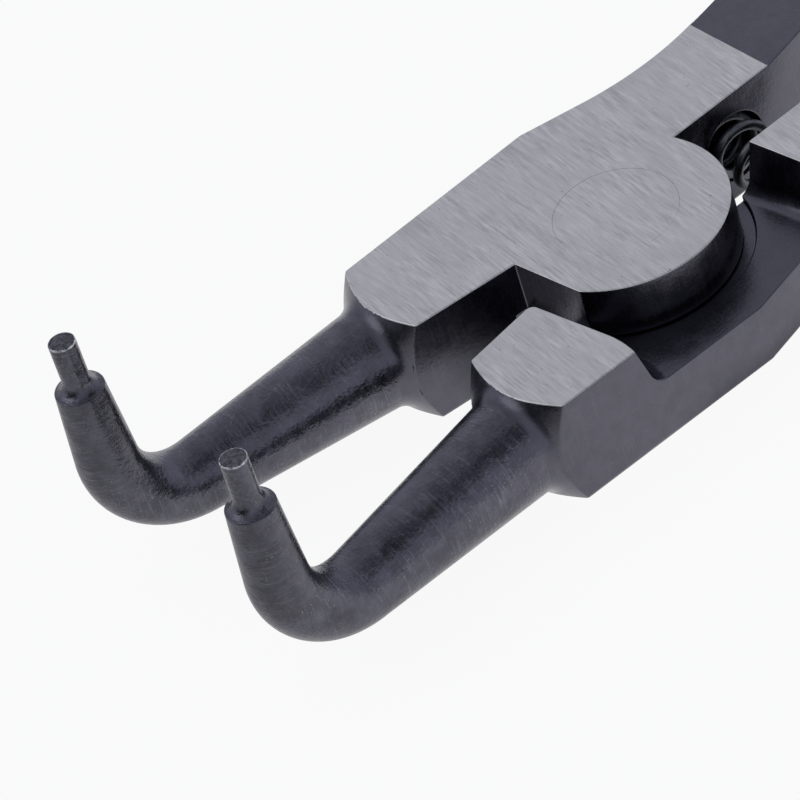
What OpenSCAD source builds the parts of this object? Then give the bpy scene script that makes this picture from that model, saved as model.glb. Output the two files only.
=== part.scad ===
// Circlip pliers for external rings, with tips bent square to the head.
// The pivot axis is the Z axis, the underside of the head lies on z = 0,
// the jaws reach towards +X and the left lever is the one on the +Y side.
// All sizes are in millimetres and the levers are drawn at rest.

/* [Head] */
// Thickness of the head, from underside to top
head_t = 10.5; // [9.5:0.1:12]
// Angle from the centre line to each jaw at rest, in degrees
rest_angle = 7; // [6:0.25:8]
// Distance from each jaw's inner face to the line through the pivot
jaw_gap = 1.15; // [0.9:0.05:1.6]
// Distance from the pivot to the middle of the jaw front's top edge
jaw_front = 20.9; // [19.5:0.1:23]
// Width of each jaw at its front
jaw_w = 10.5; // [10:0.1:11.5]
// Angle by which the turned jaw front falls back round the prong, in degrees
front_angle = 33; // [26:0.5:38]
// Angle by which the outer flank spreads towards the pivot, in degrees
flank_angle = 8.4; // [7:0.1:10]

/* [Lap joint] */
// Height of the lap face where the two levers meet
lap_z = 5.5; // [5.1:0.05:5.8]
// Free height left between the two lapped ears
lap_play = 0.1; // [0.06:0.02:0.2]
// Radius of the round ear about the pivot
ear_r = 9.65; // [9.2:0.05:9.8]
// Distance from the pivot to the flat on the front of the upper ear
ear_flat = 8.9; // [8.6:0.05:9.1]
// Distance from an ear to the start of the fillet at the foot of the lap wall
ear_gap = 0.4; // [0.3:0.05:0.6]
// Gap between an ear and the rim of the round pocket that it turns in
pocket_gap = 1.1; // [0.9:0.05:1.3]
// Height of the ledge left between the pocket and the outer flank
ledge = 0.5; // [0.3:0.05:0.7]
// Lean of the lap walls from upright, in degrees
wall_lean = 15; // [8:1:20]
// Radius of the fillet at the foot of the lap walls
wall_fillet = 0.9; // [0.5:0.05:1.1]

/* [Pivot rivet] */
// Radius of the rivet's shank
rivet_r = 3.4; // [2.8:0.05:4]
// Radius of the countersunk head, ground flush with the lever
rivet_head_r = 5.3; // [4.6:0.05:6]
// Depth of the countersunk head
rivet_head_h = 1.9; // [1.4:0.05:2.4]
// Radial clearance of the rivet in both levers
rivet_play = 0.05; // [0.03:0.01:0.08]

/* [Prongs and tips] */
// Radius of the prong where it leaves the jaw
prong_root_r = 4.6; // [4.2:0.05:4.8]
// Radius of the prong at the start of the bend
prong_bend_r = 3.2; // [3:0.05:3.5]
// Radius of the prong at the end of the bend
tip_base_r = 2.62; // [2.4:0.02:2.9]
// Radius of the upright at its shoulder
tip_shoulder_r = 2.1; // [1.9:0.02:2.3]
// Distance from the jaw front to the axis of the upright
prong_len = 25.4; // [23:0.1:30]
// Radius of the bend along the middle of the prong
bend_r = 7; // [5.5:0.1:9]
// Angle by which the prongs lean towards each other, in degrees
prong_toe = 1.85; // [0:0.05:3]
// Radius of the fillet at the root of the prong
root_fillet = 2; // [1.4:0.1:2.4]
// Height of the shoulder that carries the tip pin
shoulder_z = 20.2; // [18.5:0.1:24]
// Radius of the tip pin
pin_r = 1.15; // [0.9:0.05:1.35]
// Length of the tip pin above its fillet
pin_len = 4.2; // [3:0.1:6]
// Radius of the fillet at the foot of the tip pin
pin_fillet = 0.6; // [0.3:0.05:0.65]

/* [Shanks] */
// Distance from the centre line to each shank's inner face at rest
shank_gap = 2.9; // [2.6:0.05:3.3]
// Radius of the hollow curve on the outside of the shank
waist_r = 30; // [20:1:36]
// Distance behind the pivot where the shank begins to thin
thin_start = 20; // [19:0.5:24]
// Distance behind the pivot where the shank reaches the tang's thickness
thin_end = 36; // [33:0.5:40]

/* [Return spring] */
// Steel left between the ear's pocket and the spring's seat
seat_web = 0.95; // [0.7:0.05:1.4]
// Radius of the blind seat drilled in each shank
seat_r = 3.2; // [3:0.05:3.25]
// Depth of the blind seat
seat_depth = 3.2; // [2.4:0.1:4]
// Diameter of the spring wire
wire_d = 0.9; // [0.7:0.05:1]
// Radial gap between the coil and its seat
coil_gap = 0.3; // [0.2:0.05:0.5]
// Number of turns in the coil
coil_turns = 6; // [5:0.5:7]

/* [Handles] */
// Outward angle of the handle where it leaves the head, in degrees
handle_angle = 16; // [14:0.5:18]
// Distance behind the pivot where the bowed handle starts
handle_x = 24; // [23:0.5:27]
// Radius of the handle's bow
handle_r = 410; // [360:5:460]
// Length of the bowed handle along its middle
handle_len = 128; // [110:1:140]
// Width of the steel tang
tang_w = 9.4; // [8.4:0.1:10]
// Thickness of the steel tang
tang_t = 8; // [7:0.1:8.4]
// Distance along the handle to the front edge of the grip
grip_start = 18; // [15:0.5:24]
// Width of the grip
grip_w = 13.4; // [12.4:0.1:15]
// Radius of the grip's rounded edges
grip_edge_r = 4.2; // [3:0.1:4.8]
// Extra width of the collar at the front of the grip
collar_w = 1.6; // [0.8:0.1:2.4]
// Length of the collar along the handle
collar_len = 5; // [3:0.5:8]
// Distance from the end of the tang to the end of the bow
tang_short = 4; // [2:0.5:10]
// Clearance between the tang and the grip
grip_play = 0.05; // [0.03:0.01:0.1]

/* [Hidden] */
$fn = 64;

// Depth by which the tip pin is rooted in its shoulder
bury = 0.6;
// Small step that keeps two meeting surfaces apart
step = 0.02;
// Bevels at the edge of the shoulder and at the end of the tip pin
shoulder_edge = 0.25;
pin_edge = 0.12;

jaw_mid = jaw_gap + jaw_w / 2;
// The jaw front is a cone about the prong: front_x gives how far it reaches at a radius
function front_x(r) = (head_t / 2 - r) * tan(front_angle);
jaw_corner = jaw_front + front_x(norm([head_t, jaw_w]) / 2);
function flank_y(x) = jaw_gap + jaw_w + (jaw_corner - x) * tan(flank_angle);

slot_foot = ear_r + ear_gap + wall_fillet * tan((90 - wall_lean) / 2);

bend_start = prong_len - bend_r;
prong_slope = (prong_root_r - prong_bend_r) / bend_start;
function prong_r(x) = prong_root_r - x * prong_slope;

pocket_r = ear_r + pocket_gap;
spring_x = pocket_r + seat_web + seat_r;
coil_r = seat_r - coil_gap - wire_d / 2;
coil_len = 2 * (shank_gap + seat_depth - step);
coil_pitch = coil_len / coil_turns;

// The bowed handle is part of a ring about bow_c; its middle line starts at bow_p
inner_rise = 1.5;
bow_p = [-handle_x, shank_gap + inner_rise + tang_w / 2 * cos(handle_angle)];
bow_c = bow_p - handle_r * [sin(handle_angle), cos(handle_angle)];
function bow_turn(len) = len / handle_r * 180 / PI;
function turned(p, a) = [p.x * cos(a) - p.y * sin(a), p.x * sin(a) + p.y * cos(a)];

// Jaw seen from above, in the lever's own frame
module jaw_plan() {
    polygon([
        [-3, jaw_gap],
        [jaw_front + 1, jaw_gap],
        [jaw_front + 1, flank_y(jaw_front + 1)],
        [0, flank_y(0)],
        [-3, flank_y(0) - 2]
    ]);
}

// Round ear; the upper one has a flat that faces the other lever's jaw
module ear_plan(flat) {
    difference() {
        circle(r = ear_r);
        if (flat) rotate(-2 * rest_angle) translate([ear_flat, -ear_r]) square([ear_r, 2 * ear_r]);
    }
}

// Shank seen from above at rest: the hollow curve runs from the flank into the handle
module shank_plan() {
    flank_end = turned([0, flank_y(0)], rest_angle);
    side_dir = [sin(handle_angle), cos(handle_angle)];
    outer = bow_p + tang_w / 2 * side_dir;
    inner = bow_p - tang_w / 2 * side_dir;
    span = flank_end - outer;
    r = min(waist_r, 0.96 * (span * span) / (2 * span * side_dir));
    centre = outer + r * side_dir;
    sight = flank_end - centre;
    a1 = atan2(sight.y, sight.x) - acos(r / norm(sight));
    a2 = -90 - handle_angle;
    waist = [for (i = [0:10]) centre + r * [cos(a1 + (a2 - a1) * i / 10), sin(a1 + (a2 - a1) * i / 10)]];
    polygon(concat(
        [turned([2, flank_y(0) - 3], rest_angle), flank_end],
        waist,
        [
            inner,
            [inner.x + (inner.y - shank_gap) / tan(handle_angle), shank_gap],
            [-ear_r / 2, shank_gap]
        ]
    ));
}

// Ring segment of the handle bow with a given section
module bow(from, len) {
    translate(bow_c) rotate(90 - handle_angle + bow_turn(from)) rotate_extrude(angle = bow_turn(len), $fn = 720)
        translate([handle_r, 0]) children();
}

// Steel bar of the handle with a given thickness
module tang(len, thick, play) {
    bow(0, len) translate([0, head_t / 2]) square([tang_w + 2 * play, thick + 2 * play], center = true);
}

// Wedges that thin the shank above and below towards the tang
module thinning() {
    thin = (head_t - tang_t) / 2;
    far = handle_x + handle_len + 20;
    for (side = [0, 1]) {
        translate([0, 60, head_t / 2]) mirror([0, 0, side]) rotate([90, 0, 0]) linear_extrude(120)
            polygon([
                [-thin_start, head_t / 2],
                [-thin_end, head_t / 2 - thin],
                [-far, head_t / 2 - thin],
                [-far, head_t],
                [-thin_start, head_t]
            ]);
    }
}

// Slot across the lever with a round pocket for the other ear, drawn open upwards from z = 0
module lap_slot(depth) {
    run = depth + 2;
    top = slot_foot + (run - ledge) * tan(wall_lean);
    sweep = 90 - wall_lean;
    cx = slot_foot - wall_fillet * tan(sweep / 2);
    foot = [for (i = [0:6])
        [cx + wall_fillet * sin(sweep * i / 6), ledge + wall_fillet * (1 - cos(sweep * i / 6))]];
    side = concat(foot, [[top, run]]);
    other = [for (i = [len(side) - 1:-1:0]) [-side[i].x, side[i].y]];
    rotate([90, 0, 0]) translate([0, 0, -40]) linear_extrude(80) polygon(concat(side, other));
    cylinder(r = pocket_r, h = run);
}

// Space that the head is kept within: a cone about the prong, which turns the jaw front
module turned_front() {
    wide = 60;
    translate([jaw_front, jaw_mid, head_t / 2]) rotate(-prong_toe) rotate([0, 90, 0])
        rotate_extrude() polygon([[0, -2 * wide], [wide, -2 * wide], [wide, front_x(wide)], [0, front_x(0)]]);
}

// Prong, bend and upright as one tapered sweep, each ring being [x, height, turn, radius]
module prong_sweep() {
    m = 28;
    n = 10;
    deep = 2.6;
    flare_turn = 42;
    flare_r = min(prong_root_r + root_fillet * (1 - cos(flare_turn)), min(head_t, jaw_w) / 2 - 0.15);
    reach = front_x(flare_r) - 0.05 + root_fillet * sin(flare_turn);
    root = [for (i = [0:4])
        let (a = flare_turn * (1 - i / 4))
        let (x = reach - root_fillet * sin(a))
        [x, 0, 0, min(prong_r(x) + root_fillet * (1 - cos(a)), flare_r)]];
    bend = [for (i = [0:n])
        let (a = 90 * i / n)
        [bend_start + bend_r * sin(a), bend_r * (1 - cos(a)), a, prong_bend_r + (tip_base_r - prong_bend_r) * i / n]];
    top = shoulder_z - head_t / 2;
    path = concat(
        [[-deep, 0, 0, root[0][3]]],
        root,
        bend,
        [[prong_len, top - shoulder_edge, 90, tip_shoulder_r], [prong_len, top, 90, tip_shoulder_r - shoulder_edge]]
    );
    points = [for (p = path) for (k = [0:m - 1])
        let (u = p[3] * cos(360 * k / m))
        [p[0] - u * sin(p[2]), p[3] * sin(360 * k / m), p[1] + u * cos(p[2])]];
    sides = [for (i = [0:len(path) - 2]) for (k = [0:m - 1])
        let (q = (k + 1) % m)
        each [
            [i * m + k, (i + 1) * m + q, (i + 1) * m + k],
            [i * m + k, i * m + q, (i + 1) * m + q]
        ]];
    ends = [
        [for (k = [m - 1:-1:0]) k],
        [for (k = [0:m - 1]) (len(path) - 1) * m + k]
    ];
    polyhedron(points, concat(sides, ends));
}

// Tip pin with the fillet at its foot, turned about the tip's axis
module tip_pin() {
    foot = [for (i = [0:4])
        [pin_r + pin_fillet * (1 - sin(22.5 * i)), pin_fillet * (1 - cos(22.5 * i)) - step]];
    rotate_extrude() polygon(concat(
        [[0, -bury], [pin_r + pin_fillet, -bury]],
        foot,
        [
            [pin_r, pin_fillet + pin_len - pin_edge],
            [pin_r - pin_edge, pin_fillet + pin_len],
            [0, pin_fillet + pin_len]
        ]
    ));
}

// Prong and tip in the lever's own frame
module prong() {
    translate([jaw_front, jaw_mid, head_t / 2]) rotate(-prong_toe) {
        prong_sweep();
        translate([prong_len, 0, shoulder_z - head_t / 2]) tip_pin();
    }
}

// Hole for the rivet with its countersink at the outer face of the ear
module rivet_space(grow) {
    rotate_extrude() polygon([
        [0, -1],
        [rivet_head_r + grow + 1, -1],
        [rivet_head_r + grow, 0],
        [rivet_r + grow, rivet_head_h],
        [rivet_r + grow, head_t + 1],
        [0, head_t + 1]
    ]);
}

// One lever on the +Y side; the ear lies below the lap face, or above it when ear_up is true
module lever(ear_up) {
    difference() {
        union() {
            intersection() {
                linear_extrude(head_t) {
                    rotate(rest_angle) {
                        jaw_plan();
                        ear_plan(ear_up);
                    }
                    shank_plan();
                }
                rotate(rest_angle) turned_front();
            }
            tang(handle_len - tang_short, head_t, 0);
            rotate(rest_angle) prong();
        }
        thinning();
        if (ear_up) {
            translate([0, 0, lap_z + lap_play / 2]) rotate(rest_angle) mirror([0, 0, 1]) lap_slot(lap_z);
            translate([0, 0, head_t]) mirror([0, 0, 1]) rivet_space(rivet_play);
        } else {
            translate([0, 0, lap_z - lap_play / 2]) rotate(rest_angle) lap_slot(head_t - lap_z);
            rivet_space(rivet_play);
        }
        translate([-spring_x, 0, head_t / 2]) rotate([-90, 0, 0]) cylinder(r = seat_r, h = shank_gap + seat_depth);
    }
}

// Rounded bar section of the grip
module grip_section(w, t) {
    translate([0, head_t / 2]) offset(r = grip_edge_r, $fn = 32)
        square([w - 2 * grip_edge_r, t - 2 * grip_edge_r], center = true);
}

// Grip sleeve on the +Y side: collar, bowed bar and rounded end over the tang
module grip() {
    end_turn = 90 - handle_angle + bow_turn(handle_len);
    difference() {
        union() {
            bow(grip_start, collar_len) grip_section(grip_w + collar_w, head_t);
            bow(grip_start + collar_len, handle_len - grip_start - collar_len) grip_section(grip_w, head_t);
            translate(bow_c) rotate(end_turn) translate([handle_r, 0]) rotate_extrude() intersection() {
                grip_section(grip_w - 2 * step, head_t - 2 * step);
                translate([0, -1]) square([grip_w, head_t + 2]);
            }
        }
        tang(handle_len - tang_short + grip_play, tang_t, grip_play);
    }
}

module left_lever() {
    color("#3b3d41") lever(false);
}

module right_lever() {
    color("#45474b") mirror([0, 1, 0]) lever(true);
}

// Flush rivet, countersunk in the outer face of both ears
module pivot_rivet() {
    color("#bdbdb8") rotate_extrude() polygon([
        [0, 0],
        [rivet_head_r, 0],
        [rivet_r, rivet_head_h],
        [rivet_r, head_t - rivet_head_h],
        [rivet_head_r, head_t],
        [0, head_t]
    ]);
}

// Coil between the shanks: the wire's level section is wound up along the coil's axis
module return_spring() {
    half_turn = 180 * wire_d / coil_pitch;
    n = 4;
    outer = [for (i = [-n:n])
        let (a = half_turn * sin(90 * i / n))
        (coil_r + wire_d / 2 * cos(90 * i / n)) * [cos(a), sin(a)]];
    inner = [for (i = [n - 1:-1:1 - n])
        let (a = half_turn * sin(90 * i / n))
        (coil_r - wire_d / 2 * cos(90 * i / n)) * [cos(a), sin(a)]];
    color("#6a6d72") translate([-spring_x, coil_len / 2, head_t / 2]) rotate([90, 0, 0])
        linear_extrude(coil_len, twist = -360 * coil_turns, slices = 20 * coil_turns, $fn = 8)
            polygon(concat(outer, inner));
}

module left_grip() {
    color("#a3211f") grip();
}

module right_grip() {
    color("#a3211f") mirror([0, 1, 0]) grip();
}

left_lever();
right_lever();
pivot_rivet();
return_spring();
left_grip();
right_grip();
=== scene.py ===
import math

import bmesh
import bpy
from mathutils import Matrix, Vector


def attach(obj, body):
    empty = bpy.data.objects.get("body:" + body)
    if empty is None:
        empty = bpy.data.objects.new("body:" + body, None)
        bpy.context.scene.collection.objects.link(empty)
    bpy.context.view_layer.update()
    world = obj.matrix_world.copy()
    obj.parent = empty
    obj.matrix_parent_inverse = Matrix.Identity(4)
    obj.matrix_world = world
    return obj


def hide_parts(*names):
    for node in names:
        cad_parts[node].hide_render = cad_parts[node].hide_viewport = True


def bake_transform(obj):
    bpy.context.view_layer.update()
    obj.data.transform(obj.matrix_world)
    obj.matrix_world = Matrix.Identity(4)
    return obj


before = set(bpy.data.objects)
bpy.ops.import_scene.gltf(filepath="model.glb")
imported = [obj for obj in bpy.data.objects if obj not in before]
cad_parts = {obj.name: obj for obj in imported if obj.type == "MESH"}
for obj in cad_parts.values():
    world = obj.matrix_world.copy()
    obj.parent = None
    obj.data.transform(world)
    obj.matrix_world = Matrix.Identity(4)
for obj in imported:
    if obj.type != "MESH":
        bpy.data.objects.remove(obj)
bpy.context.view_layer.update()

scene = bpy.context.scene
mm = 0.001  # shapes are drawn in millimetres and scaled once at the end
print("frame loaded:", sorted(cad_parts))


# small helpers

def srgb(code):  # sRGB hex to linear RGBA
    parts = [int(code[i:i + 2], 16) / 255 for i in (1, 3, 5)]
    return tuple(c / 12.92 if c <= 0.04045 else ((c + 0.055) / 1.055) ** 2.4 for c in parts) + (1.0,)


def addNode(tree, kind, settings=None, *values, **named):  # inputs in order, by name, or as i6 for number 6
    made = tree.nodes.new(kind)
    for key, value in (settings or {}).items():
        setattr(made, key, value)
    given = dict(enumerate(values))
    for key, value in named.items():
        given[int(key[1:]) if key[1:].isdigit() else key.replace("_", " ")] = value
    for key, value in given.items():  # a socket is linked, a value is set
        if isinstance(value, bpy.types.NodeSocket):
            tree.links.new(value, made.inputs[key])
        else:
            made.inputs[key].default_value = value
    return made


def turned(point, degrees):
    a = math.radians(degrees)
    return (point[0] * math.cos(a) - point[1] * math.sin(a), point[0] * math.sin(a) + point[1] * math.cos(a))


def arc(centre, radius, start, end, steps):  # points from start to end angle, in degrees
    angles = [math.radians(start + (end - start) * i / steps) for i in range(steps + 1)]
    return [(centre[0] + radius * math.cos(a), centre[1] + radius * math.sin(a)) for a in angles]


def solid(name, bm):  # mesh object with whole flats, which carve cleanly, and its faces turned outwards
    bmesh.ops.remove_doubles(bm, verts=bm.verts, dist=1e-5)
    bmesh.ops.dissolve_limit(bm, angle_limit=math.radians(0.05), verts=bm.verts, edges=bm.edges)
    bmesh.ops.recalc_face_normals(bm, faces=bm.faces)
    mesh = bpy.data.meshes.new(name)
    bm.to_mesh(mesh)
    bm.free()
    made = bpy.data.objects.new(name, mesh)
    scene.collection.objects.link(made)
    return made


def sweep(name, rings, place=None):  # a closed skin over rings of points, with a face at each end
    bm = bmesh.new()
    rows = [[bm.verts.new(point) for point in ring] for ring in rings]
    for first, second in zip(rows, rows[1:]):
        for k in range(len(first)):
            q = (k + 1) % len(first)
            bm.faces.new((first[k], first[q], second[q], second[k]))
    bm.faces.new(rows[0])
    bm.faces.new(rows[-1])
    if place:
        bm.transform(place)
    return solid(name, bm)


def prism(name, outline, low, high, place):  # outline in the XY plane, drawn up in Z
    bm = bmesh.new()
    rings = [[bm.verts.new((x, y, z)) for x, y in outline] for z in (low, high)]
    bm.faces.new(rings[0][::-1])
    bm.faces.new(rings[1])
    for i in range(len(outline)):
        j = (i + 1) % len(outline)
        bm.faces.new((rings[0][i], rings[0][j], rings[1][j], rings[1][i]))
    bm.transform(place)
    return solid(name, bm)


def lathe(name, profile, steps, place=None):  # profile of (radius, height) from axis to axis, about Z
    bm = bmesh.new()
    angles = [2 * math.pi * k / steps for k in range(steps)]
    rings = []
    for r, z in profile:
        around = [(r * math.cos(a), r * math.sin(a), z) for a in angles] if r > 1e-6 else [(0, 0, z)]
        rings.append([bm.verts.new(point) for point in around])
    for a, b in zip(rings, rings[1:]):
        for k in range(steps):
            q = (k + 1) % steps
            corners = [a[k % len(a)], a[q % len(a)], b[q % len(b)], b[k % len(b)]]
            bm.faces.new(list(dict.fromkeys(corners)))
    if place:
        bm.transform(place)
    return solid(name, bm)


def settle(obj):  # turns the modifiers' result into the object's plain mesh
    graph = bpy.context.evaluated_depsgraph_get()
    shown = obj.evaluated_get(graph)
    mesh = bpy.data.meshes.new_from_object(shown, preserve_all_data_layers=True, depsgraph=graph)
    obj.modifiers.clear()
    obj.data = mesh


def carve(target, tool, how="DIFFERENCE"):
    cut = target.modifiers.new("carve", "BOOLEAN")
    cut.operation, cut.solver, cut.object = how, "EXACT", tool
    cut.material_mode = "TRANSFER"
    settle(target)
    bpy.data.objects.remove(tool)


def smoothed(obj, angle=32):  # smooth shading that keeps the flats flat
    for face in obj.data.polygons:
        face.use_smooth = True
    bm = bmesh.new()
    bm.from_mesh(obj.data)
    for edge in bm.edges:
        edge.smooth = len(edge.link_faces) == 2 and edge.calc_face_angle(math.pi) < math.radians(angle)
    bm.to_mesh(obj.data)
    bm.free()
    even = obj.modifiers.new("even", "WEIGHTED_NORMAL")
    even.keep_sharp = True
    settle(obj)


def finished(obj, body, slot, *nodes):  # to metres, at the origin, riding on its body
    obj.data.transform(Matrix.Scale(mm, 4))
    obj.data.update()
    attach(obj, body)
    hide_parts(*nodes)


# camera at the photograph's angle, worked out from the edges of the jaws and prongs

view = {"azimuth": 152.45, "elevation": 40.62, "roll": -18.65, "distance": 406.59, "aim": (22.74, -3.22, 5.25),
        "focalPixels": 5000, "imageWidth": 800, "sensor": 36}
az, el, roll = (math.radians(view[k]) for k in ("azimuth", "elevation", "roll"))
back = Vector((math.sin(az) * math.cos(el), -math.cos(az) * math.cos(el), math.sin(el)))
level = Vector((0, 0, 1)).cross(back).normalized()
upright = back.cross(level)
camRight = level * math.cos(roll) + upright * math.sin(roll)
camUp = upright * math.cos(roll) - level * math.sin(roll)
camData = bpy.data.cameras.new("camera")
camData.sensor_width = view["sensor"]
camData.lens = view["sensor"] * view["focalPixels"] / view["imageWidth"]
camData.clip_start, camData.clip_end = 0.01, 20
camera = bpy.data.objects.new("camera", camData)
scene.collection.objects.link(camera)
stand = (Vector(view["aim"]) + back * view["distance"]) * mm
camera.matrix_world = Matrix.Translation(stand) @ Matrix((camRight, camUp, back)).transposed().to_4x4()
scene.camera = camera
print("camera set, lens", camData.lens)


# materials

def material(name):
    made = bpy.data.materials.new(name)
    made.use_nodes = True
    made.node_tree.nodes.clear()
    return made, made.node_tree, addNode(made.node_tree, "ShaderNodeTexCoord").outputs["Object"]


def grain(tree, coords, sizes, turn=0.0, detail=2.0, rough=0.5):  # noise whose cell is sizes (x, y, z) in mm
    mapped = addNode(tree, "ShaderNodeMapping", {"vector_type": "TEXTURE"}, Vector=coords,
                     Rotation=(0, 0, math.radians(turn)), Scale=tuple(s * mm for s in sizes))
    return addNode(tree, "ShaderNodeTexNoise", None, Vector=mapped.outputs[0], Scale=1.0, Detail=detail,
                   Roughness=rough).outputs["Fac"]


def layered(tree, colour, *layers):  # tints laid over a colour, each where all of its patterns are strong
    for tint, *patterns in layers:
        share, *others = [addNode(tree, "ShaderNodeMapRange", None, *pattern).outputs[0] for pattern in patterns]
        for part in others:
            share = addNode(tree, "ShaderNodeMath", {"operation": "MULTIPLY"}, share, part).outputs[0]
        colour = addNode(tree, "ShaderNodeMix", {"data_type": "RGBA"}, share, i6=colour, i7=srgb(tint)).outputs[2]
    return colour


groundSteel = {"light": "#e2e0e0", "dark": "#bdbbbc", "stain": "#a8a6a7", "pit": "#55555a",
               "roughness": (0.32, 0.46), "lineWidth": 0.18, "lineLength": 2.2, "turn": -5.5, "relief": 0.012}


def groundSteelMaterial(name):  # surface-ground tool steel: satin, with short fine lines one way over the head
    made, tree, coords = material(name)
    turn = groundSteel["turn"]
    # real grinding lines are a few hundredths wide, and are drawn as coarse as they need to show
    fine = grain(tree, coords, (groundSteel["lineWidth"], groundSteel["lineLength"], 3), turn, 3.0, 0.6)
    broad = grain(tree, coords, (0.6, 4, 3), turn, 3.0, 0.6)
    cloud = grain(tree, coords, (7, 9, 7), turn)
    pits = grain(tree, coords, (0.2, 0.5, 0.2), turn, 1.0)
    patches = grain(tree, coords, (2.2, 3.6, 3), turn, 3.0, 0.6)
    lines = addNode(tree, "ShaderNodeMix", None, 0.4, i2=fine, i3=broad).outputs[0]
    clear = addNode(tree, "ShaderNodeMapRange", None, patches, 0.38, 0.62, 0.45, 1.35).outputs[0]
    lines = addNode(tree, "ShaderNodeMath", {"operation": "SUBTRACT"}, lines, 0.5).outputs[0]
    lines = addNode(tree, "ShaderNodeMath", {"operation": "MULTIPLY_ADD"}, lines, clear, 0.5).outputs[0]
    colour = layered(tree, srgb(groundSteel["dark"]),
                     (groundSteel["light"], (lines, 0.36, 0.64, 0, 1)),
                     (groundSteel["stain"], (cloud, 0.56, 0.8, 0, 0.4)),
                     (groundSteel["pit"], (pits, 0.75, 0.81, 0, 0.5)))
    rough = addNode(tree, "ShaderNodeMapRange", None, lines, 0.3, 0.7, *groundSteel["roughness"])
    bump = addNode(tree, "ShaderNodeBump", None, Strength=0.6, Distance=groundSteel["relief"] * mm, Height=lines)
    shader = addNode(tree, "ShaderNodeBsdfPrincipled", None, Base_Color=colour, Roughness=rough.outputs[0],
                     Normal=bump.outputs[0], Metallic=1.0)
    addNode(tree, "ShaderNodeOutputMaterial", None, shader.outputs[0])
    return made


# the darkest tone is painted shade in the joint's recess, and also darkens the pins' ends
blackSteel = {"dark": "#57565e", "light": "#696873", "worn": "#8d8e97", "glintAndGrain": "#b4b6be", "bareAndHighlight": "#e4e4e8",
              "darkTone": "#2b2c31", "jointShadeShare": 0.15, "roughness": (0.2, 0.33), "markWidth": 0.2, "markLength": 2.4}
relief = {  # heights in mm of lines, fine and uneven, then how much of each tint shows
    "turned": {"lines": 0.06, "fine": 0.045, "uneven": 0.1, "wear": 0.5, "mottle": 1.0, "glintSpecks": 0.9},
    "ground": {"lines": 0.004, "fine": 0.012, "uneven": 0.03, "wear": 0.12, "mottle": 0.4, "glintSpecks": 0.2},
}
prongHeights = {  # where the bend, the pin's foot, its rim and its end lie above the rest face
    "foot": (20.4 * mm, 21.2 * mm), "rim": (24.84 * mm, 24.9 * mm), "rimEnd": (24.985 * mm, 24.998 * mm),
    "end": (24.985 * mm, 24.995 * mm), "bend": (9 * mm, 12.5 * mm),
}


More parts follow.
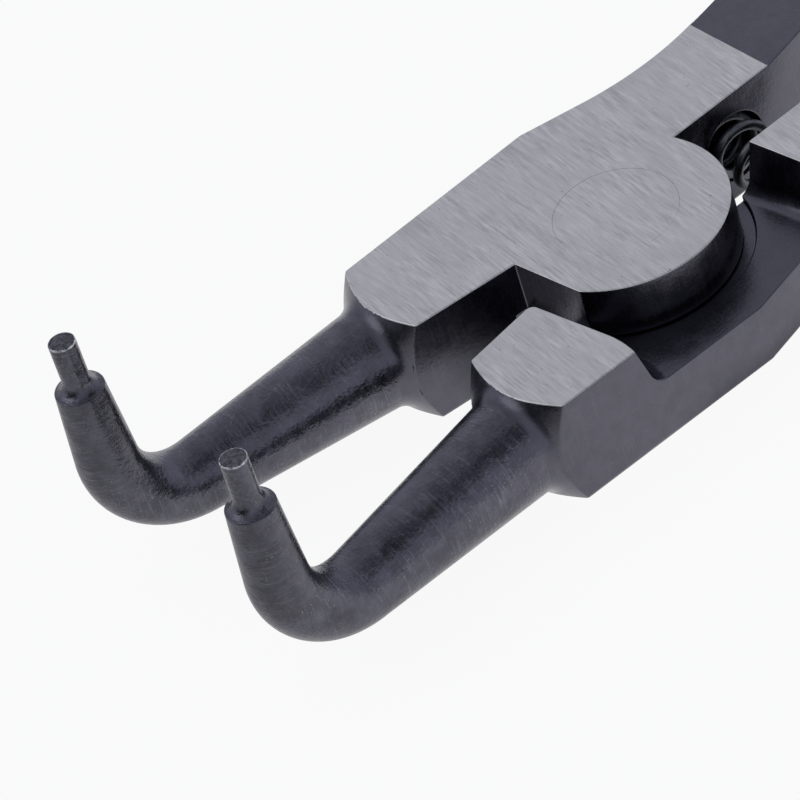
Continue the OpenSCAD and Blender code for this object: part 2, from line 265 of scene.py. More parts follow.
def blackSteelMaterial(name, turn, marks, darkTone=False):  # phosphated forging steel: near black, blue-grey, speckled with painted glints
    made, tree, coords = material(name)
    depth = relief[marks]
    wide, long = blackSteel["markWidth"], blackSteel["markLength"]
    height = addNode(tree, "ShaderNodeSeparateXYZ", None, coords).outputs["Z"]
    mottle = grain(tree, coords, (1.6, 1.6, 1.6), turn, 3.0, 0.6)
    glintSpecks = grain(tree, coords, (0.13, 0.13, 0.13), turn, 1.0)  # painted glints: light dots for the phosphate's sparkle, coarser than real phosphate grains, to show
    fine = grain(tree, coords, (0.32, 0.32, 0.32), turn)
    uneven = grain(tree, coords, (2.6, 2.6, 2.6), turn, 1.0)
    patches = grain(tree, coords, (4, 2.4, 4), turn, 3.0, 0.6)
    patchy = (patches, 0.4, 0.62, 0.2, 1)  # the marks are deep only in patches
    if marks == "turned":  # tool marks round the prong, then round the upright
        across = grain(tree, coords, (wide, long, long), turn, 3.0, 0.6)
        raised = grain(tree, coords, (long, long, wide), turn, 3.0, 0.6)
        share = addNode(tree, "ShaderNodeMapRange", None, height, *prongHeights["bend"], 0, 1).outputs[0]
        lines = addNode(tree, "ShaderNodeMix", None, share, i2=across, i3=raised).outputs[0]
    else:  # faint upright grinding lines on the flanks
        lines = grain(tree, coords, (0.3, 0.3, 6), turn, 3.0, 0.6)
    colour = layered(tree, srgb(blackSteel["dark"]),
                     (blackSteel["light"], (mottle, 0.35, 0.68, 0.5 - depth["mottle"] / 2, 0.5 + depth["mottle"] / 2)),
                     (blackSteel["worn"], patchy, (lines, 0.52, 0.72, 0, depth["wear"])),
                     # light specks where the patches are deep: painted glints
                     (blackSteel["glintAndGrain"], patchy, (glintSpecks, 0.68, 0.78, 0, depth["glintSpecks"])))
    if marks == "turned":  # the tip pins are rubbed to the metal in grains and dark on the end; the bright rim round the end is worn and partly a painted highlight
        colour = layered(tree, colour,
                         (blackSteel["glintAndGrain"], (fine, 0.5, 0.72, 0, 0.14), (height, *prongHeights["foot"], 0, 1)),
                         (blackSteel["darkTone"], (height, *prongHeights["end"], 0, 0.7)),
                         (blackSteel["bareAndHighlight"], (height, *prongHeights["rim"], 0, 1),
                          (height, *prongHeights["rimEnd"], 1, 0.1), (fine, 0.35, 0.6, 0.1, 1)))
    if darkTone:  # painted shade: the joint's recess is darkened in colour to stand in for the shade there
        colour = addNode(tree, "ShaderNodeMix", {"data_type": "RGBA"}, blackSteel["jointShadeShare"], i6=colour,
                         i7=srgb(blackSteel["darkTone"])).outputs[2]
    both = addNode(tree, "ShaderNodeMath", {"operation": "ADD"}, mottle, lines).outputs[0]
    rough = addNode(tree, "ShaderNodeMapRange", None, both, 0.7, 1.3, *blackSteel["roughness"]).outputs[0]
    deep = addNode(tree, "ShaderNodeMapRange", None, *patchy).outputs[0]
    deep = addNode(tree, "ShaderNodeMath", {"operation": "MULTIPLY"}, lines, deep).outputs[0]
    total = 0.0
    for pattern, most in ((deep, depth["lines"]), (fine, depth["fine"]), (uneven, depth["uneven"])):
        total = addNode(tree, "ShaderNodeMath", {"operation": "MULTIPLY_ADD"}, pattern, most, total).outputs[0]
    bump = addNode(tree, "ShaderNodeBump", None, Strength=1.0, Distance=mm, Height=total)
    shader = addNode(tree, "ShaderNodeBsdfPrincipled", None, Base_Color=colour, Roughness=rough,
                     Normal=bump.outputs[0], Metallic=1.0)
    addNode(tree, "ShaderNodeOutputMaterial", None, shader.outputs[0])
    return made


springWire = {"dark": "#54565b", "light": "#77797f", "roughness": (0.3, 0.45), "relief": 0.01}


def springWireMaterial(name):  # oil-tempered spring wire: dark, slightly blue, with a tight sheen
    made, tree, coords = material(name)
    mottle = grain(tree, coords, (0.7, 0.25, 0.7))
    colour = layered(tree, srgb(springWire["dark"]), (springWire["light"], (mottle, 0.35, 0.7, 0, 1)))
    rough = addNode(tree, "ShaderNodeMapRange", None, mottle, 0.3, 0.7, *springWire["roughness"])
    bump = addNode(tree, "ShaderNodeBump", None, Strength=0.3, Distance=springWire["relief"] * mm, Height=mottle)
    shader = addNode(tree, "ShaderNodeBsdfPrincipled", None, Base_Color=colour, Roughness=rough.outputs[0],
                     Normal=bump.outputs[0], Metallic=1.0)
    addNode(tree, "ShaderNodeOutputMaterial", None, shader.outputs[0])
    return made


dippedPvc = {"dark": "#98201f", "light": "#a82724", "roughness": (0.34, 0.46), "relief": 0.06, "ior": 1.53}


def dippedPvcMaterial(name):  # dip-moulded PVC: soft gloss over a shallow orange peel
    made, tree, coords = material(name)
    cloud = grain(tree, coords, (9, 9, 9))
    peel = grain(tree, coords, (0.8, 0.8, 0.8))
    colour = layered(tree, srgb(dippedPvc["dark"]), (dippedPvc["light"], (cloud, 0.3, 0.7, 0, 1)))
    rough = addNode(tree, "ShaderNodeMapRange", None, peel, 0.3, 0.7, *dippedPvc["roughness"])
    bump = addNode(tree, "ShaderNodeBump", None, Strength=0.25, Distance=dippedPvc["relief"] * mm, Height=peel)
    shader = addNode(tree, "ShaderNodeBsdfPrincipled", None, Base_Color=colour, Roughness=rough.outputs[0],
                     Normal=bump.outputs[0], IOR=dippedPvc["ior"])
    addNode(tree, "ShaderNodeOutputMaterial", None, shader.outputs[0])
    return made


springSteel = springWireMaterial("oil_tempered_spring_wire")
gripPvc = dippedPvcMaterial("dip_moulded_pvc")
print("materials made")


# levers, drawn on the +Y side and mirrored for the right one

head = {"thick": 10.5, "restAngle": 7.0, "jawGap": 1.15, "jawFront": 20.9, "jawWidth": 10.5, "frontAngle": 33.0,
        "frontSpare": 1.7, "flankAngle": 8.4, "edge": 0.14, "underEdge": 0.7}
lap = {"height": 5.5, "play": 0.1, "earRadius": 9.65, "earFlat": 8.9, "pocketGap": 1.1, "ledge": 0.5,
       "wallLean": 15.0, "wallFoot": 10.74, "fillet": 1.6, "wallSkew": 0.04, "wallBow": 0.052, "bowFrom": 9.6,
       "corner": 0.7}
rivet = {"shank": 3.4, "head": 5.3, "headSpare": 0.042, "sink": 1.9, "play": 0.05, "edge": 0.02}
prong = {"root": 4.6, "bend": 3.2, "tipBase": 2.62, "length": 25.4, "bendRadius": 7.0, "toe": 1.85, "fillet": 2.0,
         "seam": 1.45, "shoulder": 2.1, "shoulderHeight": 20.2, "shoulderEdge": 0.12, "brow": 0.2, "flare": 1.3,
         "flareSweep": 60.0, "flareTop": 1.0, "pin": 1.15, "pinRise": 4.8, "pinEdge": 0.12, "sides": 72}
shank = {"gap": 2.9, "waist": 30.0, "room": 0.96, "thinStart": 20.0, "thinEnd": 36.0}
handle = {"angle": 16.0, "back": 24.0, "bow": 410.0, "length": 128.0, "width": 9.4, "thick": 8.0, "shortBy": 4.0,
          "rise": 1.5}
spring = {"web": 0.95, "seat": 3.2, "depth": 3.2, "seatCorner": 0.4, "wire": 0.9, "gap": 0.3, "turns": 6,
          "play": 0.1, "crowding": 0.45}

half = head["thick"] / 2
jawMid = head["jawGap"] + head["jawWidth"] / 2
pocketRadius = lap["earRadius"] + lap["pocketGap"]
springBack = pocketRadius + spring["web"] + spring["seat"]
springEnd = shank["gap"] + spring["depth"]


def frontReach(r):  # how far the turned jaw front reaches at a radius from the prong's axis
    return (half - r) * math.tan(math.radians(head["frontAngle"]))


jawCorner = head["jawFront"] + frontReach(math.hypot(head["thick"], head["jawWidth"]) / 2)


def flankY(x):
    return head["jawGap"] + head["jawWidth"] + (jawCorner - x) * math.tan(math.radians(head["flankAngle"]))


handleTurn = math.radians(handle["angle"])
bowStart = (-handle["back"], shank["gap"] + handle["rise"] + handle["width"] / 2 * math.cos(handleTurn))
bowCentre = (bowStart[0] - handle["bow"] * math.sin(handleTurn), bowStart[1] - handle["bow"] * math.cos(handleTurn))


def bowDegrees(length):
    return math.degrees(length / handle["bow"])


def prongRadius(x):  # the taper from the jaw to the bend
    return prong["root"] - x * (prong["root"] - prong["bend"]) / (prong["length"] - prong["bendRadius"])


def turnedFront():  # (radius, along) of what the lathe takes off: round the prong's root, its fillet and the cone
    lean, hollow = math.radians(head["frontAngle"]), prong["fillet"]
    fall = prongRadius(0) - prongRadius(1)
    along = (hollow - (prong["root"] + hollow - half) * math.sin(lean)) / (math.cos(lean) - fall * math.sin(lean))
    out = prongRadius(along) + hollow
    rootEnd, wasteRadius, wasteEnd = 2.2, 18, 12  # past the fillet, the jaw's corners and the blank
    points = [(0, rootEnd), (prongRadius(rootEnd), rootEnd)]
    for i in range(11):
        a = (math.pi / 2 - lean) * i / 10
        points.append((out - hollow * math.cos(a), along - hollow * math.sin(a)))
    return points + [(wasteRadius, frontReach(wasteRadius)), (wasteRadius, wasteEnd), (0, wasteEnd)]


def leverOutline(flatted):  # jaw, flank, waist, tang, shank and ear, once round
    rest, ear, bow = head["restAngle"], lap["earRadius"], handle["bow"]
    front = head["jawFront"] + head["frontSpare"]
    flankEnd = Vector(turned((0, flankY(0)), rest))
    side = Vector((math.sin(handleTurn), math.cos(handleTurn)))
    outer = Vector(bowStart) + side * handle["width"] / 2
    inner = Vector(bowStart) - side * handle["width"] / 2
    span = flankEnd - outer
    roomiest = span.dot(span) / (2 * span.dot(side))  # the waist's radius never fills all of its room
    radius = min(shank["waist"], shank["room"] * roomiest)
    centre = outer + side * radius
    sight = flankEnd - centre
    first = math.degrees(math.atan2(sight.y, sight.x) - math.acos(radius / sight.length))
    tangFrom = 90 - handle["angle"]
    tangTo = tangFrom + bowDegrees(handle["length"] - handle["shortBy"])
    earStart = math.degrees(math.atan2(shank["gap"], -math.sqrt(ear ** 2 - shank["gap"] ** 2)))
    points = [turned((front, head["jawGap"]), rest), turned((front, flankY(front)), rest), tuple(flankEnd)]
    points += arc(centre, radius, first, -90 - handle["angle"], 20)
    points += arc(bowCentre, bow + handle["width"] / 2, tangFrom, tangTo, 40)[1:]
    points += arc(bowCentre, bow - handle["width"] / 2, tangTo, tangFrom, 40)
    points += [(inner.x + (inner.y - shank["gap"]) / math.tan(handleTurn), shank["gap"])]
    if flatted:  # the upper ear faces the other jaw with a flat
        flatHalf = math.degrees(math.acos(lap["earFlat"] / ear))
        double = math.radians(2 * rest)
        flatTop = ((lap["earFlat"] + head["jawGap"] * math.sin(double)) / math.cos(double), head["jawGap"])
        points += arc((0, 0), ear, earStart, 360 - rest - flatHalf, 84) + [turned(flatTop, rest)]
    else:
        points += arc((0, 0), ear, earStart, 360 + rest + math.degrees(math.asin(head["jawGap"] / ear)), 84)
    return points


def blank(name, outline, place):  # the outline drawn up to the head's thickness, with a rounded under edge
    count = len(outline)
    points = [Vector(p) for p in outline]
    inward = []
    for i in range(count):
        first = (points[i] - points[i - 1]).normalized()
        second = (points[(i + 1) % count] - points[i]).normalized()
        normal = Vector((-first.y - second.y, first.x + second.x)).normalized()
        inward.append(normal / max(0.5, normal.dot(Vector((-second.y, second.x)))))
    area = sum(points[i - 1].x * points[i].y - points[i].x * points[i - 1].y for i in range(count))
    radius = head["underEdge"]
    rows = []
    for step in range(6):
        a = math.radians(18 * step)
        shift = radius * (1 - math.sin(a)) * (-1 if area < 0 else 1)
        z = radius * (1 - math.cos(a))
        rows.append([(p.x + n.x * shift, p.y + n.y * shift, z) for p, n in zip(points, inward)])
    rows.append([(p.x, p.y, head["thick"]) for p in points])
    return sweep(name, rows, place)


def underFront(place):  # what is rounded off where the turned front meets the under face
    radius, slope = head["underEdge"], math.tan(math.radians(head["frontAngle"]))
    ahead, below, rise, sink, spare = 4, -1, 0.5, 0.004, 0.08  # how far the tool stands clear of the jaw
    rows = []
    for i in range(37):
        across = i / 2 - 9
        r = math.hypot(half, across)
        outward = Vector((1, slope * across / r))
        lean = math.atan(slope * half / r / outward.length)
        outward.normalize()
        inset = radius * math.tan(math.pi / 4 - lean / 2)
        angles = [lean + (math.pi / 2 - lean) * step / 6 for step in range(7)]
        profile = [(radius * math.cos(a) - inset, radius * (1 - math.sin(a)) - sink) for a in angles]
        top = (profile[0][0] + rise * math.tan(lean) + spare, profile[0][1] + rise)
        profile = [(ahead, top[1]), top] + profile + [(-inset, below), (ahead, below)]
        rows.append([(frontReach(r) + outward.x * d, across + outward.y * d, z) for d, z in profile])
    return sweep("underFront", rows, place)


def wallShift(y):  # how far the jaw's lap wall stands off a straight one: a skew, a bow and a rounded corner
    inside = head["jawGap"] + lap["corner"]
    shift = -lap["wallSkew"] * max(0.0, min(y, lap["bowFrom"]) - inside)
    shift += lap["wallBow"] * max(0.0, y - lap["bowFrom"]) ** 2
    if y < inside:
        shift += lap["corner"] - math.sqrt(lap["corner"] ** 2 - (inside - max(y, head["jawGap"])) ** 2)
    return shift


def slotTool(depth, place):  # the lap's ledge, filleted feet and leaning walls, drawn up from the lap face
    run, pastSide = depth + 2, 40
    sweepAngle = 90 - lap["wallLean"]
    foot = lap["wallFoot"] - lap["fillet"] * math.tan(math.radians(sweepAngle / 2))
    side = []
    for i in range(6):
        a = math.radians(sweepAngle * i / 5)
        side.append((foot + lap["fillet"] * math.sin(a), lap["ledge"] + lap["fillet"] * (1 - math.cos(a))))
    side.append((lap["wallFoot"] + (run - lap["ledge"]) * math.tan(math.radians(lap["wallLean"])), run))
    inside = head["jawGap"] + lap["corner"]
    stations = [-pastSide] + [inside - lap["corner"] * math.sin(math.radians(90 - 15 * i)) for i in range(7)]
    stations += [lap["bowFrom"] + 0.6 * i for i in range(11)]
    rows = []
    for y in stations + [pastSide]:
        shift = wallShift(min(y, stations[-1]))
        rows.append([(x + shift, y, z) for x, z in side] + [(-x, y, z) for x, z in side[::-1]])
    return sweep("slot", rows, place)


def prongRings():  # (along, height, turn in degrees, radius) for each ring of the sweep
    seam, length, bendRadius = prong["seam"], prong["length"], prong["bendRadius"]
    # the first rings stay inside the turned front, and the seam stands just proud of it
    buried, hidden, sunk, proud = -2.0, 1.0, 0.03, 0.004
    rings = [(buried, 0, 0, prong["bend"]), (hidden, 0, 0, prongRadius(hidden) - sunk),
             (seam, 0, 0, prongRadius(seam) + proud)]
    bendStart = length - bendRadius
    for i in range(1, 13):
        x = seam + (bendStart - seam) * i / 13
        rings.append((x, 0, 0, prongRadius(x)))
    for i in range(25):  # round the bend
        turn = 90 * i / 24
        a = math.radians(turn)
        radius = prong["bend"] + (prong["tipBase"] - prong["bend"]) * i / 24
        rings.append((bendStart + bendRadius * math.sin(a), bendRadius * (1 - math.cos(a)), turn, radius))
    shoulder = prong["shoulderHeight"] - half
    brow = shoulder - prong["brow"]
    tip = []  # (height, radius) up the tip
    for i in range(1, 7):
        z = bendRadius + (brow - prong["shoulderEdge"] - bendRadius) * i / 6
        tip.append((z, prong["tipBase"] + (prong["shoulder"] - prong["tipBase"]) * i / 6))
    for i in range(1, 5):  # rounded shoulder edge
        a = math.radians(22.5 * i)
        tip.append((brow - prong["shoulderEdge"] * (1 - math.sin(a)),
                    prong["shoulder"] - prong["shoulderEdge"] * (1 - math.cos(a))))
    flareEnd = shoulder + prong["flareTop"]
    for i in range(7):  # flared foot of the pin
        a = math.radians(prong["flareSweep"] * (1 - i / 6))
        tip.append((flareEnd - prong["flare"] * math.sin(a), prong["pin"] + prong["flare"] * (1 - math.cos(a))))
    pinTop = shoulder + prong["pinRise"]
    tip.append(((flareEnd + pinTop) / 2, prong["pin"]))
    for i in range(4):  # rounded end of the pin
        a = math.radians(30 * i)
        tip.append((pinTop - prong["pinEdge"] * (1 - math.sin(a)), prong["pin"] - prong["pinEdge"] * (1 - math.cos(a))))
    return rings + [(length, z, 90, radius) for z, radius in tip]


def prongObject(place):
    sides = prong["sides"]
    angles = [2 * math.pi * k / sides for k in range(sides)]
    rows = []
    for along, height, turn, radius in prongRings():
        a = math.radians(turn)
        around = [(radius * math.cos(b), radius * math.sin(b)) for b in angles]
        rows.append([(along - u * math.sin(a), v, height + u * math.cos(a)) for u, v in around])
    return sweep("prong", rows, place)


def weighEdges(piece, alongProng):  # fine bevels on every real edge but the rivet's hole and the prong
    headEnd, flatEnd, crumb = 0.1, 0.25, 0.06  # where the prong takes over, and what the carving leaves over
    clearOfRivet = rivet["head"] + 0.5
    bm = bmesh.new()
    bm.from_mesh(piece.data)
    bmesh.ops.remove_doubles(bm, verts=[v for v in bm.verts if (alongProng @ v.co).x < headEnd], dist=crumb)
    weights = bm.edges.layers.float.new("bevel_weight_edge")
    for edge in bm.edges:
        middle = (edge.verts[0].co + edge.verts[1].co) / 2
        sharp = len(edge.link_faces) == 2 and edge.calc_face_angle(0) > math.radians(30)
        free = math.hypot(middle.x, middle.y) > clearOfRivet and (alongProng @ middle).x < flatEnd
        edge[weights] = 1.0 if sharp and free else 0.0
    bm.to_mesh(piece.data)
    bm.free()


def carveLap(piece, earUp, flip, rest):  # the slot, the round pocket, the spring's seat and the rivet's hole
    thick, overturned = head["thick"], Matrix.Diagonal((1, 1, -1, 1))
    if earUp:
        slotPlace = Matrix.Translation((0, 0, lap["height"] + lap["play"] / 2)) @ overturned
        depth = lap["height"]
    else:
        slotPlace = Matrix.Translation((0, 0, lap["height"] - lap["play"] / 2))
        depth = thick - lap["height"]
    carve(piece, slotTool(depth, flip @ slotPlace @ rest))
    pocket = [(0, 0), (pocketRadius, 0), (pocketRadius, depth + 2), (0, depth + 2)]
    carve(piece, lathe("pocket", pocket, 160, slotPlace))
    seatRadius, corner = spring["seat"], spring["seatCorner"]
    seat = [(0, 0), (seatRadius, 0), (seatRadius, springEnd - corner), (seatRadius - corner, springEnd), (0, springEnd)]
    seatPlace = flip @ Matrix.Translation((-springBack, 0, half)) @ Matrix.Rotation(math.radians(-90), 4, "X")
    carve(piece, lathe("springSeat", seat, 64, seatPlace))
    wide, narrow = rivet["head"] + rivet["play"], rivet["shank"] + rivet["play"]
    hole = [(0, -1), (wide + 1, -1), (wide, 0), (narrow, rivet["sink"]), (narrow, thick + 1), (0, thick + 1)]
    holePlace = Matrix.Translation((0, 0, thick)) @ overturned if earUp else None
    carve(piece, lathe("rivetHole", hole, 128, holePlace))


def thinTang(piece):  # the shank is thinned from both faces to the tang
    pastEnd, pastSide = 20, 60
    start, end, far = -shank["thinStart"], -shank["thinEnd"], -handle["back"] - handle["length"] - pastEnd
    skim = half - (head["thick"] - handle["thick"]) / 2
    wedge = [(start, half), (end, skim), (far, skim), (far, head["thick"]), (start, head["thick"])]
    standUp = Matrix.Rotation(math.radians(90), 4, "X")
    for upward in (Matrix.Identity(4), Matrix.Diagonal((1, 1, -1, 1))):
        place = Matrix.Translation((0, 0, half)) @ upward @ standUp
        carve(piece, prism("thinning", wedge, -pastSide, pastSide, place))


def leverPiece(name, mirror, earUp, body, node):
    rest = Matrix.Rotation(math.radians(head["restAngle"]), 4, "Z")
    flip = Matrix.Diagonal((1, -1, 1, 1)) if mirror else Matrix.Identity(4)
    turn = -head["restAngle"] if mirror else head["restAngle"]
    toe = -prong["toe"] if mirror else prong["toe"]
    prongPlace = flip @ rest @ Matrix.Translation((head["jawFront"], jawMid, half))
    prongPlace = prongPlace @ Matrix.Rotation(math.radians(-prong["toe"]), 4, "Z")
    lieDown = Matrix.Rotation(math.radians(90), 4, "Y")
    piece = blank(name, leverOutline(earUp), flip)
    carve(piece, lathe("frontWaste", turnedFront(), prong["sides"], prongPlace @ lieDown))
    carve(piece, underFront(prongPlace @ Matrix.Translation((0, 0, -half))))
    thinTang(piece)
    carveLap(piece, earUp, flip, rest)
    piece.data.materials.clear()
    for finish in (blackSteelMaterial(name + "_phosphated", turn, "ground"),
                   groundSteelMaterial(name + "_surface_ground"),
                   # the third finish is the joint's painted shade: the phosphated steel darkened
                   blackSteelMaterial(name + "_joint_painted_shade", turn, "ground", True),
                   blackSteelMaterial(name + "_turned_prong", turn - toe, "turned")):
        piece.data.materials.append(finish)
    phosphated, surfaceGround, jointShade, turnedProng = range(4)
    stem = prongObject(prongPlace)
    stem.data.materials.append(piece.data.materials[turnedProng])
    carve(piece, stem, "UNION")
    alongProng = prongPlace.inverted()
    weighEdges(piece, alongProng)
    soften = piece.modifiers.new("soften", "BEVEL")
    soften.width, soften.segments, soften.limit_method = head["edge"], 3, "WEIGHT"
    soften.use_clamp_overlap = False
    settle(piece)
    for vertex in piece.data.vertices:  # bevels that overshoot at the thinning are brought back
        if (alongProng @ vertex.co).x < 1:
            vertex.co.z = min(max(vertex.co.z, 0.0), head["thick"])
    levelEnough, nearFace, nearWall, lowest = 0.6, 0.1, 0.02, 0.3  # what counts as a ground flat, or as the joint; the flats take in the first roundings of their edges, which are worn and partly a painted edge highlight
    for face in piece.data.polygons:
        x, y, z = face.center
        flat = abs(face.normal.z) > levelEnough and min(z, head["thick"] - z) < nearFace
        joint = math.hypot(x, y) < pocketRadius + nearWall and lowest < z < head["thick"] - nearFace
        # faces in the joint's recess take the darkened finish, as painted shade
        if face.material_index != turnedProng:
            face.material_index = surfaceGround if flat else jointShade if joint else phosphated
    smoothed(piece)
    print(name, len(piece.data.polygons), "faces")
    finished(piece, body, "black_steel", node)


leverPiece("left_lever_forging", False, False, "left_half", "left_lever")
leverPiece("right_lever_forging", True, True, "right_half", "right_lever")


# flush rivet, ground together with the head

def rivetPiece():
    r, s, h, edge = rivet["head"] + rivet["headSpare"], rivet["shank"], head["thick"], rivet["edge"]
    lower = [(0, 0), (r - edge, 0), (r, edge), (s, rivet["sink"])]
    piece = lathe("flush_rivet", lower + [(radius, h - z) for radius, z in lower[::-1]], 128)
    piece.data.materials.append(groundSteelMaterial("rivet_surface_ground"))
    smoothed(piece)
    finished(piece, "left_half", "ground_steel", "pivot_rivet")


rivetPiece()
print("rivet made")


# return spring, wound by a node tree along its own axis

def coilTree():
    tree = bpy.data.node_groups.new("woundCoil", "GeometryNodeTree")
    tree.interface.new_socket("Geometry", in_out="OUTPUT", socket_type="NodeSocketGeometry")
    kinds = dict.fromkeys(("Turns", "Coil Radius", "Wire Radius", "Length", "End Crowding"), "NodeSocketFloat")
    kinds["Wire"] = "NodeSocketMaterial"
    ids = {}
    for label, kind in kinds.items():
        ids[label] = tree.interface.new_socket(label, in_out="INPUT", socket_type=kind).identifier
    given = addNode(tree, "NodeGroupInput").outputs
    spiral = addNode(tree, "GeometryNodeCurveSpiral", None, Resolution=48, Rotations=given["Turns"],
                     Start_Radius=given["Coil Radius"], End_Radius=given["Coil Radius"], Height=given["Length"])
    share = addNode(tree, "GeometryNodeSplineParameter").outputs["Factor"]  # the turns crowd towards both ends
    shift = addNode(tree, "ShaderNodeMath", {"operation": "MULTIPLY"}, share, 2 * math.pi).outputs[0]
    shift = addNode(tree, "ShaderNodeMath", {"operation": "SINE"}, shift).outputs[0]
    shift = addNode(tree, "ShaderNodeMath", {"operation": "MULTIPLY"}, shift, given["End Crowding"]).outputs[0]
    shift = addNode(tree, "ShaderNodeMath", {"operation": "DIVIDE"}, shift, 2 * math.pi).outputs[0]
    along = addNode(tree, "ShaderNodeMath", {"operation": "SUBTRACT"}, share, shift).outputs[0]
    along = addNode(tree, "ShaderNodeMath", {"operation": "MULTIPLY"}, along, given["Length"]).outputs[0]
    where = addNode(tree, "GeometryNodeInputPosition").outputs[0]
    where = addNode(tree, "ShaderNodeSeparateXYZ", None, where).outputs
    wound = addNode(tree, "ShaderNodeCombineXYZ", None, where["X"], where["Y"], along)
    placed = addNode(tree, "GeometryNodeSetPosition", None, Geometry=spiral.outputs[0], Position=wound.outputs[0])
    section = addNode(tree, "GeometryNodeCurvePrimitiveCircle", None, Resolution=16, Radius=given["Wire Radius"])
    wire = addNode(tree, "GeometryNodeCurveToMesh", None, Curve=placed.outputs[0],
                   Profile_Curve=section.outputs[0], Fill_Caps=True)
    real = addNode(tree, "GeometryNodeRealizeInstances", None, Geometry=wire.outputs[0])
    dressed = addNode(tree, "GeometryNodeSetMaterial", None, Geometry=real.outputs[0], Material=given["Wire"])
    addNode(tree, "NodeGroupOutput", None, Geometry=dressed.outputs[0])
    return tree, ids


def springPiece():
    holder = bpy.data.objects.new("return_spring_coil", bpy.data.meshes.new("coil"))
    scene.collection.objects.link(holder)
    winding = holder.modifiers.new("winding", "NODES")
    winding.node_group, ids = coilTree()
    reach = 2 * springEnd - spring["play"] - spring["wire"]
    sizes = {"Turns": float(spring["turns"]), "Coil Radius": spring["seat"] - spring["gap"] - spring["wire"] / 2,
             "Wire Radius": spring["wire"] / 2, "Length": reach, "End Crowding": spring["crowding"],
             "Wire": springSteel}
    for label, value in sizes.items():
        winding[ids[label]] = value
    settle(holder)
    acrossShanks = Matrix.Rotation(math.radians(90), 4, "X")
    holder.data.transform(Matrix.Translation((-springBack, reach / 2, half)) @ acrossShanks)
    bm = bmesh.new()
    bm.from_mesh(holder.data)
    bmesh.ops.recalc_face_normals(bm, faces=bm.faces)
    bm.to_mesh(holder.data)
    bm.free()
    smoothed(holder, 50)
    holder.data.transform(Matrix.Scale(mm, 4))
    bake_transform(holder)
    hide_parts("return_spring")


springPiece()
print("spring made")


# grip sleeves over the tangs

grip = {"start": 18.0, "width": 13.4, "edge": 4.2, "collar": 1.6, "collarLength": 5.0, "play": 0.05, "sides": 72,
        "boreEdge": 0.3, "mouth": (0.6, 0.5), "mouthEdge": 0.6, "mouthDepth": 0.5, "lip": (1.4, 1.0),
        "lipLength": 0.9, "easeBack": 1.2, "easeLength": 2.6, "stations": 44, "endWidth": 0.4, "endThick": 2.4}


def roundedSection(width, thick, radius, count):  # points round a rounded bar, from the middle of its outer side
    radius = min(radius, width / 2 - 0.01, thick / 2 - 0.01)
    points = []
    per = count // 4
    for quarter in range(4):
        cx = (width / 2 - radius) * (1 if quarter in (0, 3) else -1)
        cy = (thick / 2 - radius) * (1 if quarter in (0, 1) else -1)
        for i in range(per):
            a = math.radians(90 * quarter + 90 * (i + 0.5) / per)
            points.append((cx + radius * math.cos(a), cy + radius * math.sin(a)))
    return points


def gripRows():  # (along, width, thickness, edge radius) from the bottom of the hollow, out and over to the end
    thick, edge, start, end = head["thick"], grip["edge"], grip["start"], handle["length"]
    wide, full = grip["width"], grip["width"] + grip["collar"]
    boreWide, boreThick = handle["width"] + 2 * grip["play"], handle["thick"] + 2 * grip["play"]
    rows = [(handle["length"] - handle["shortBy"] + grip["play"], boreWide, boreThick, grip["boreEdge"]),
            (start + grip["mouthDepth"], boreWide, boreThick, grip["boreEdge"]),
            (start, boreWide + grip["mouth"][0], boreThick + grip["mouth"][1], grip["mouthEdge"])]
    for i in range(6):  # rounded front lip
        a = math.radians(18 * i)
        rows.append((start + grip["lipLength"] * (1 - math.cos(a)), full - grip["lip"][0] * (1 - math.sin(a)),
                     thick - grip["lip"][1] * (1 - math.sin(a)), edge))
    easeStart = start + grip["collarLength"] - grip["easeBack"]
    rows.append((easeStart, full, thick, edge))
    for i in range(1, 9):  # the collar falls to the bar in an S curve
        t = i / 8
        rows.append((easeStart + grip["easeLength"] * t, full - grip["collar"] * t * t * (3 - 2 * t), thick, edge))
    easeEnd = easeStart + grip["easeLength"]
    for i in range(1, grip["stations"] + 1):
        rows.append((easeEnd + (end - easeEnd) * i / grip["stations"], wide, thick, edge))
    for i in range(1, 12):  # rounded end
        a = math.radians(7.5 * i)
        drop = edge * (1 - math.sqrt(1 - math.sin(a) ** 6))
        rows.append((end + wide / 2 * math.sin(a), max(wide * math.cos(a), grip["endWidth"]), thick - 2 * drop, edge))
    return rows + [(end + wide / 2, grip["endWidth"], grip["endThick"], edge)]


def gripPiece(name, mirror, body, node):
    rings = []
    for along, width, thick, edge in gripRows():  # along the bow of the tang
        a = math.radians(90 - handle["angle"] + bowDegrees(along))
        section = [(handle["bow"] + x, half + z) for x, z in roundedSection(width, thick, edge, grip["sides"])]
        rings.append([(bowCentre[0] + r * math.cos(a), bowCentre[1] + r * math.sin(a), z) for r, z in section])
    piece = sweep(name, rings, Matrix.Diagonal((1, -1, 1, 1)) if mirror else None)
    piece.data.materials.append(gripPvc)
    smoothed(piece, 50)
    finished(piece, body, "grip_pvc", node)


gripPiece("left_grip_sleeve", False, "left_half", "left_grip")
gripPiece("right_grip_sleeve", True, "right_half", "right_grip")
print("grips made")


# floor, world and lamps

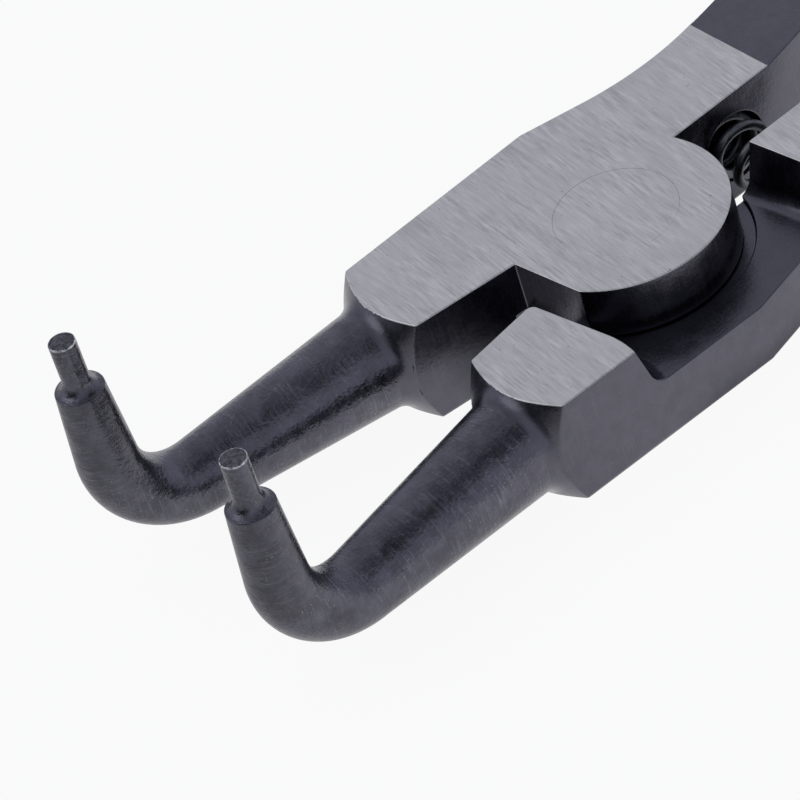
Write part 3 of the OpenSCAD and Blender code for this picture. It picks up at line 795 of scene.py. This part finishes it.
stage = {"floorDrop": 0.2, "floorSize": 6.0, "paper": "#f4f4f4", "underJoint": 10.9, "jointEdge": 0.6,
         "clearOfJoint": 17.0, "ownLight": 0.92, "nearLight": 1.0, "farLight": 0.5, "nearX": 10.0, "farX": 80.0,
         "sky": "#eef2ff", "horizon": 0.72, "overhead": 0.5, "lampAim": (0.02, 0, 0.01)}
darkSides = {  # directions and angles in degrees of the unlit parts of the room
    "camera": {"toward": (-0.35, 0.43, 0.83), "inner": 14, "outer": 22, "share": 0.72},
    "behind": {"toward": (-0.35, -0.8, 0.5), "inner": 25, "outer": 55, "share": 0.14},
    "ahead": {"toward": (0.98, 0.12, 0.1), "inner": 20, "outer": 46, "share": 0.95},
    "ceiling": {"toward": (-0.15, 0.1, 0.98), "inner": 10, "outer": 36, "share": 0.25},
}
lamps = {"key": {"at": (-0.3, -0.5, 0.5), "size": 0.8, "watts": 0.2},
         "fill": {"at": (0.5, -0.25, 0.5), "size": 0.5, "watts": 0.4}}


def backdropPaper(name):  # matt white paper that glows white, with a painted shadow under the joint and painted shade in what the steel sees of it
    made, tree, coords = material(name)
    ahead = addNode(tree, "ShaderNodeSeparateXYZ", None, coords).outputs["X"]
    away = addNode(tree, "ShaderNodeVectorMath", {"operation": "LENGTH"}, coords).outputs["Value"]
    path = addNode(tree, "ShaderNodeLightPath").outputs
    edge, joint, clear = (stage[k] * mm for k in ("jointEdge", "underJoint", "clearOfJoint"))
    # painted shade in reflections: the glow that the steel sees in the paper falls off past the tips, and towards the
    # joint, which shades it
    paintedFalloff = addNode(tree, "ShaderNodeMapRange", None, ahead, stage["nearX"] * mm, stage["farX"] * mm,
                      stage["nearLight"], stage["farLight"]).outputs[0]
    paintedJointShade = addNode(tree, "ShaderNodeMapRange", None, away, joint, clear, 0, 1).outputs[0]
    strength = addNode(tree, "ShaderNodeMath", {"operation": "MULTIPLY"}, paintedFalloff, paintedJointShade).outputs[0]
    strength = addNode(tree, "ShaderNodeMath", {"operation": "MAXIMUM"}, path["Is Camera Ray"], strength).outputs[0]
    glow = addNode(tree, "ShaderNodeEmission", None, srgb("#ffffff"), strength)
    share = path["Is Camera Ray"]
    for kind in ("Is Glossy Ray", "Is Transmission Ray"):
        share = addNode(tree, "ShaderNodeMath", {"operation": "MAXIMUM"}, share, path[kind]).outputs[0]
    outsideShadowDisk = addNode(tree, "ShaderNodeMapRange", None, away, joint, joint + edge, 0, 1).outputs[0]
    for part in (stage["ownLight"], outsideShadowDisk):  # painted shadow: the paper's own glow is taken out in a disk under the joint, so it shows dark there
        share = addNode(tree, "ShaderNodeMath", {"operation": "MULTIPLY"}, share, part).outputs[0]
    matt = addNode(tree, "ShaderNodeBsdfDiffuse", None, srgb(stage["paper"]))
    mixed = addNode(tree, "ShaderNodeMixShader", None, share, matt.outputs[0], glow.outputs[0])
    addNode(tree, "ShaderNodeOutputMaterial", None, mixed.outputs[0])
    return made


def floorPiece():
    bm = bmesh.new()
    bmesh.ops.create_grid(bm, x_segments=1, y_segments=1, size=stage["floorSize"])
    bm.transform(Matrix.Translation((0, 0, -stage["floorDrop"] * mm)))
    floor = solid("floor", bm)
    floor.data.materials.append(backdropPaper("white_backdrop_paper"))


def studioWorld():  # white round the horizon and greyer overhead, with unlit parts that draw the prongs' dark bands
    world = bpy.data.worlds.new("studio")
    world.use_nodes = True
    tree = world.node_tree
    tree.nodes.clear()
    toward = addNode(tree, "ShaderNodeTexCoord").outputs["Generated"]
    rise = addNode(tree, "ShaderNodeSeparateXYZ", None, toward).outputs["Z"]
    strength = addNode(tree, "ShaderNodeMapRange", None, rise, 0, 1, stage["horizon"], stage["overhead"]).outputs[0]
    for side in darkSides.values():
        middle = tuple(Vector(side["toward"]).normalized())
        facing = addNode(tree, "ShaderNodeVectorMath", {"operation": "DOT_PRODUCT"}, toward, middle).outputs["Value"]
        outer, inner = (math.cos(math.radians(side[k])) for k in ("outer", "inner"))
        left = addNode(tree, "ShaderNodeMapRange", None, facing, outer, inner, 1.0, 1.0 - side["share"]).outputs[0]
        strength = addNode(tree, "ShaderNodeMath", {"operation": "MULTIPLY"}, strength, left).outputs[0]
    sky = addNode(tree, "ShaderNodeBackground", None, srgb(stage["sky"]), strength)
    addNode(tree, "ShaderNodeOutputWorld", None, sky.outputs[0])
    return world


floorPiece()
scene.world = studioWorld()
for label, lamp in lamps.items():
    data = bpy.data.lights.new(label, "AREA")
    data.shape, data.size, data.energy = "DISK", lamp["size"], lamp["watts"]
    light = bpy.data.objects.new(label, data)
    scene.collection.objects.link(light)
    light.location = lamp["at"]
    light.rotation_mode = "QUATERNION"
    light.rotation_quaternion = (Vector(lamp["at"]) - Vector(stage["lampAim"])).to_track_quat("Z", "Y")

scene.view_settings.view_transform = "Standard"
print("stage and lamps set")
